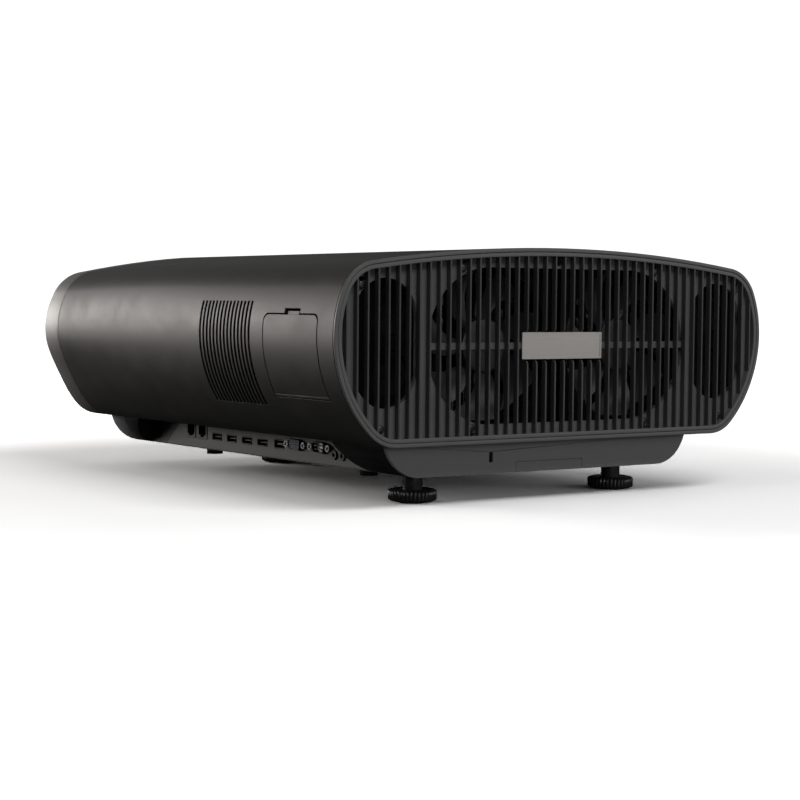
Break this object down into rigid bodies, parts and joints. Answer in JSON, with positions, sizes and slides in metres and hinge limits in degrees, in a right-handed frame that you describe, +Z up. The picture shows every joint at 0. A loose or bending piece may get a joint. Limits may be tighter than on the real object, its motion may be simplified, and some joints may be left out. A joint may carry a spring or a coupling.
{
  "type": "home projector",
  "caption": "Wide home cinema projector: wrap-round sleeve on a narrow base, finned ends, shifting zoom lens, exhaust fans, drop-down keypad door, port panel, screw feet.",
  "frame": {"origin": "on the floor under the middle of the overall box", "axes": "+Z up, lens faces -Y, exhaust grille faces +Y, port panel and keypad door on +X"},
  "size_m": [0.416, 0.463, 0.1903],
  "materials": {
    "gunmetal": "satin metallic",
    "taupe": "satin metallic",
    "grille_grey": "fine satin moulding",
    "ring_grey": "satin",
    "badge": "fine brushed, blank",
    "black_steel": "black oxide",
    "filter_mesh": "open mesh",
    "black_plastic": "fine texture",
    "base_grey": "satin",
    "panel_steel": "fine texture",
    "socket_steel": "plated",
    "board": "solder mask",
    "cast_alloy": "as cast",
    "coated_glass": "coated",
    "rubber": "matt",
    "fan_plastic": "semi gloss",
    "cone": "woven cone",
    "key_plastic": "satin",
    "foot_plastic": "gloss"
  },
  "bodies": {
    "housing": {"outer_sleeve": "gunmetal", "front_bezel": "taupe", "front_grille": "grille_grey", "lens_trim": "taupe", "rear_bezel": "ring_grey", "rear_grille": "grille_grey", "badge_plate": "badge", "grille_screws": "black_steel", "air_filters": "filter_mesh", "base_pan": "black_plastic", "front_fascia": "base_grey", "rear_fascia": "base_grey", "blanking_cover": "base_grey", "io_panel": "panel_steel", "network_sockets": "socket_steel", "hdmi_sockets": "socket_steel", "usb_socket": "socket_steel", "d_sub_sockets": "socket_steel", "audio_jacks": "black_plastic", "power_inlet": "black_plastic", "mount_bosses": "black_steel", "base_screws": "black_steel", "chassis_deck": "socket_steel", "main_board": "board", "power_supply": "board", "optical_engine": "cast_alloy", "light_modules": "cast_alloy", "heat_sinks": "cast_alloy", "lens_mount": "cast_alloy", "fan_frames": "black_plastic", "speaker_boxes": "black_plastic", "speaker_drivers": "cone", "keypad_tray": "black_plastic", "keypad_board": "board", "door_pins": "socket_steel"},
    "vertical_carriage": {"vertical_carriage": "cast_alloy"},
    "horizontal_carriage": {"horizontal_carriage": "cast_alloy", "lens_barrel": "black_plastic", "lens_glass": "coated_glass"},
    "zoom_ring": {"zoom_ring": "rubber"},
    "focus_ring": {"focus_ring": "rubber"},
    "vertical_dial": {"vertical_dial": "taupe"},
    "horizontal_dial": {"horizontal_dial": "taupe"},
    "right_fan_rotor": {"right_fan_rotor": "fan_plastic"},
    "left_fan_rotor": {"left_fan_rotor": "fan_plastic"},
    "side_door": {"side_door": "gunmetal"},
    "power_button": {"power_button": "key_plastic"},
    "source_button": {"source_button": "key_plastic"},
    "menu_button": {"menu_button": "key_plastic"},
    "up_button": {"up_button": "key_plastic"},
    "down_button": {"down_button": "key_plastic"},
    "left_button": {"left_button": "key_plastic"},
    "right_button": {"right_button": "key_plastic"},
    "enter_button": {"enter_button": "key_plastic"},
    "rear_right_foot": {"rear_right_foot": "foot_plastic"},
    "rear_right_pad": {"rear_right_pad": "rubber"},
    "rear_left_foot": {"rear_left_foot": "foot_plastic"},
    "rear_left_pad": {"rear_left_pad": "rubber"},
    "front_foot": {"front_foot": "foot_plastic"},
    "front_pad": {"front_pad": "rubber"}
  },
  "joints": [
    {"name": "vertical_shift", "type": "slide", "parent": "housing", "child": "vertical_carriage", "axis": [0, 0, 1], "range_m": [-0.007, 0.007]},
    {"name": "horizontal_shift", "type": "slide", "parent": "vertical_carriage", "child": "horizontal_carriage", "axis": [1, 0, 0], "range_m": [-0.004, 0.004]},
    {"name": "zoom_turn", "type": "hinge", "parent": "horizontal_carriage", "child": "zoom_ring", "pos_m": [0, -0.173, 0.118], "axis": [0, 1, 0], "range_deg": [-30, 30]},
    {"name": "focus_turn", "type": "hinge", "parent": "horizontal_carriage", "child": "focus_ring", "pos_m": [0, -0.199, 0.118], "axis": [0, 1, 0], "range_deg": [-60, 60]},
    {"name": "vertical_dial_turn", "type": "hinge", "parent": "housing", "child": "vertical_dial", "pos_m": [0.088, -0.225, 0.118], "axis": [0, -1, 0], "range_deg": [-370, 370]},
    {"name": "horizontal_dial_turn", "type": "hinge", "parent": "housing", "child": "horizontal_dial", "pos_m": [-0.088, -0.225, 0.118], "axis": [0, -1, 0], "range_deg": [-370, 370]},
    {"name": "right_fan_spin", "type": "hinge", "parent": "housing", "child": "right_fan_rotor", "pos_m": [0.066, 0.21, 0.1175], "axis": [0, 1, 0], "continuous": true},
    {"name": "left_fan_spin", "type": "hinge", "parent": "housing", "child": "left_fan_rotor", "pos_m": [-0.066, 0.21, 0.1175], "axis": [0, 1, 0], "continuous": true},
    {"name": "side_door_drop", "type": "hinge", "parent": "housing", "child": "side_door", "pos_m": [0.19539, 0.173, 0.0817], "axis": [0, 1, 0], "range_deg": [0, 90]},
    {"name": "power_press", "type": "slide", "parent": "housing", "child": "power_button", "axis": [-1, 0, 0], "range_m": [0, 0.0008], "stiffness_N_per_m": 1500, "springref_m": -0.0004},
    {"name": "source_press", "type": "slide", "parent": "housing", "child": "source_button", "axis": [-1, 0, 0], "range_m": [0, 0.0008], "stiffness_N_per_m": 1500, "springref_m": -0.0004},
    {"name": "menu_press", "type": "slide", "parent": "housing", "child": "menu_button", "axis": [-1, 0, 0], "range_m": [0, 0.0008], "stiffness_N_per_m": 1500, "springref_m": -0.0004},
    {"name": "up_press", "type": "slide", "parent": "housing", "child": "up_button", "axis": [-1, 0, 0], "range_m": [0, 0.0008], "stiffness_N_per_m": 1500, "springref_m": -0.0004},
    {"name": "down_press", "type": "slide", "parent": "housing", "child": "down_button", "axis": [-1, 0, 0], "range_m": [0, 0.0008], "stiffness_N_per_m": 1500, "springref_m": -0.0004},
    {"name": "left_press", "type": "slide", "parent": "housing", "child": "left_button", "axis": [-1, 0, 0], "range_m": [0, 0.0008], "stiffness_N_per_m": 1500, "springref_m": -0.0004},
    {"name": "right_press", "type": "slide", "parent": "housing", "child": "right_button", "axis": [-1, 0, 0], "range_m": [0, 0.0008], "stiffness_N_per_m": 1500, "springref_m": -0.0004},
    {"name": "enter_press", "type": "slide", "parent": "housing", "child": "enter_button", "axis": [-1, 0, 0], "range_m": [0, 0.0008], "stiffness_N_per_m": 1500, "springref_m": -0.0004},
    {"name": "rear_right_pad_travel", "type": "slide", "parent": "housing", "child": "rear_right_pad", "axis": [0, 0, -1], "range_m": [-0.0065, 0.012]},
    {"name": "rear_right_foot_turn", "type": "hinge", "parent": "rear_right_pad", "child": "rear_right_foot", "pos_m": [0.099, 0.174, 0.01], "axis": [0, 0, -1], "range_deg": [-1172, 2162]},
    {"name": "rear_left_pad_travel", "type": "slide", "parent": "housing", "child": "rear_left_pad", "axis": [0, 0, -1], "range_m": [-0.0065, 0.012]},
    {"name": "rear_left_foot_turn", "type": "hinge", "parent": "rear_left_pad", "child": "rear_left_foot", "pos_m": [-0.099, 0.174, 0.01], "axis": [0, 0, -1], "range_deg": [-1172, 2162]},
    {"name": "front_pad_travel", "type": "slide", "parent": "housing", "child": "front_pad", "axis": [0, 0, -1], "range_m": [-0.0065, 0.012]},
    {"name": "front_foot_turn", "type": "hinge", "parent": "front_pad", "child": "front_foot", "pos_m": [0, -0.168, 0.01], "axis": [0, 0, -1], "range_deg": [-1172, 2162]}
  ],
  "couplings": [
    {"joint": "vertical_dial_turn", "follows": "vertical_shift", "rad_per_m": 897.6},
    {"joint": "horizontal_dial_turn", "follows": "horizontal_shift", "rad_per_m": 1570.8},
    {"joint": "rear_right_foot_turn", "follows": "rear_right_pad_travel", "rad_per_m": 3141.6},
    {"joint": "rear_left_foot_turn", "follows": "rear_left_pad_travel", "rad_per_m": 3141.6},
    {"joint": "front_foot_turn", "follows": "front_pad_travel", "rad_per_m": 3141.6}
  ]
}
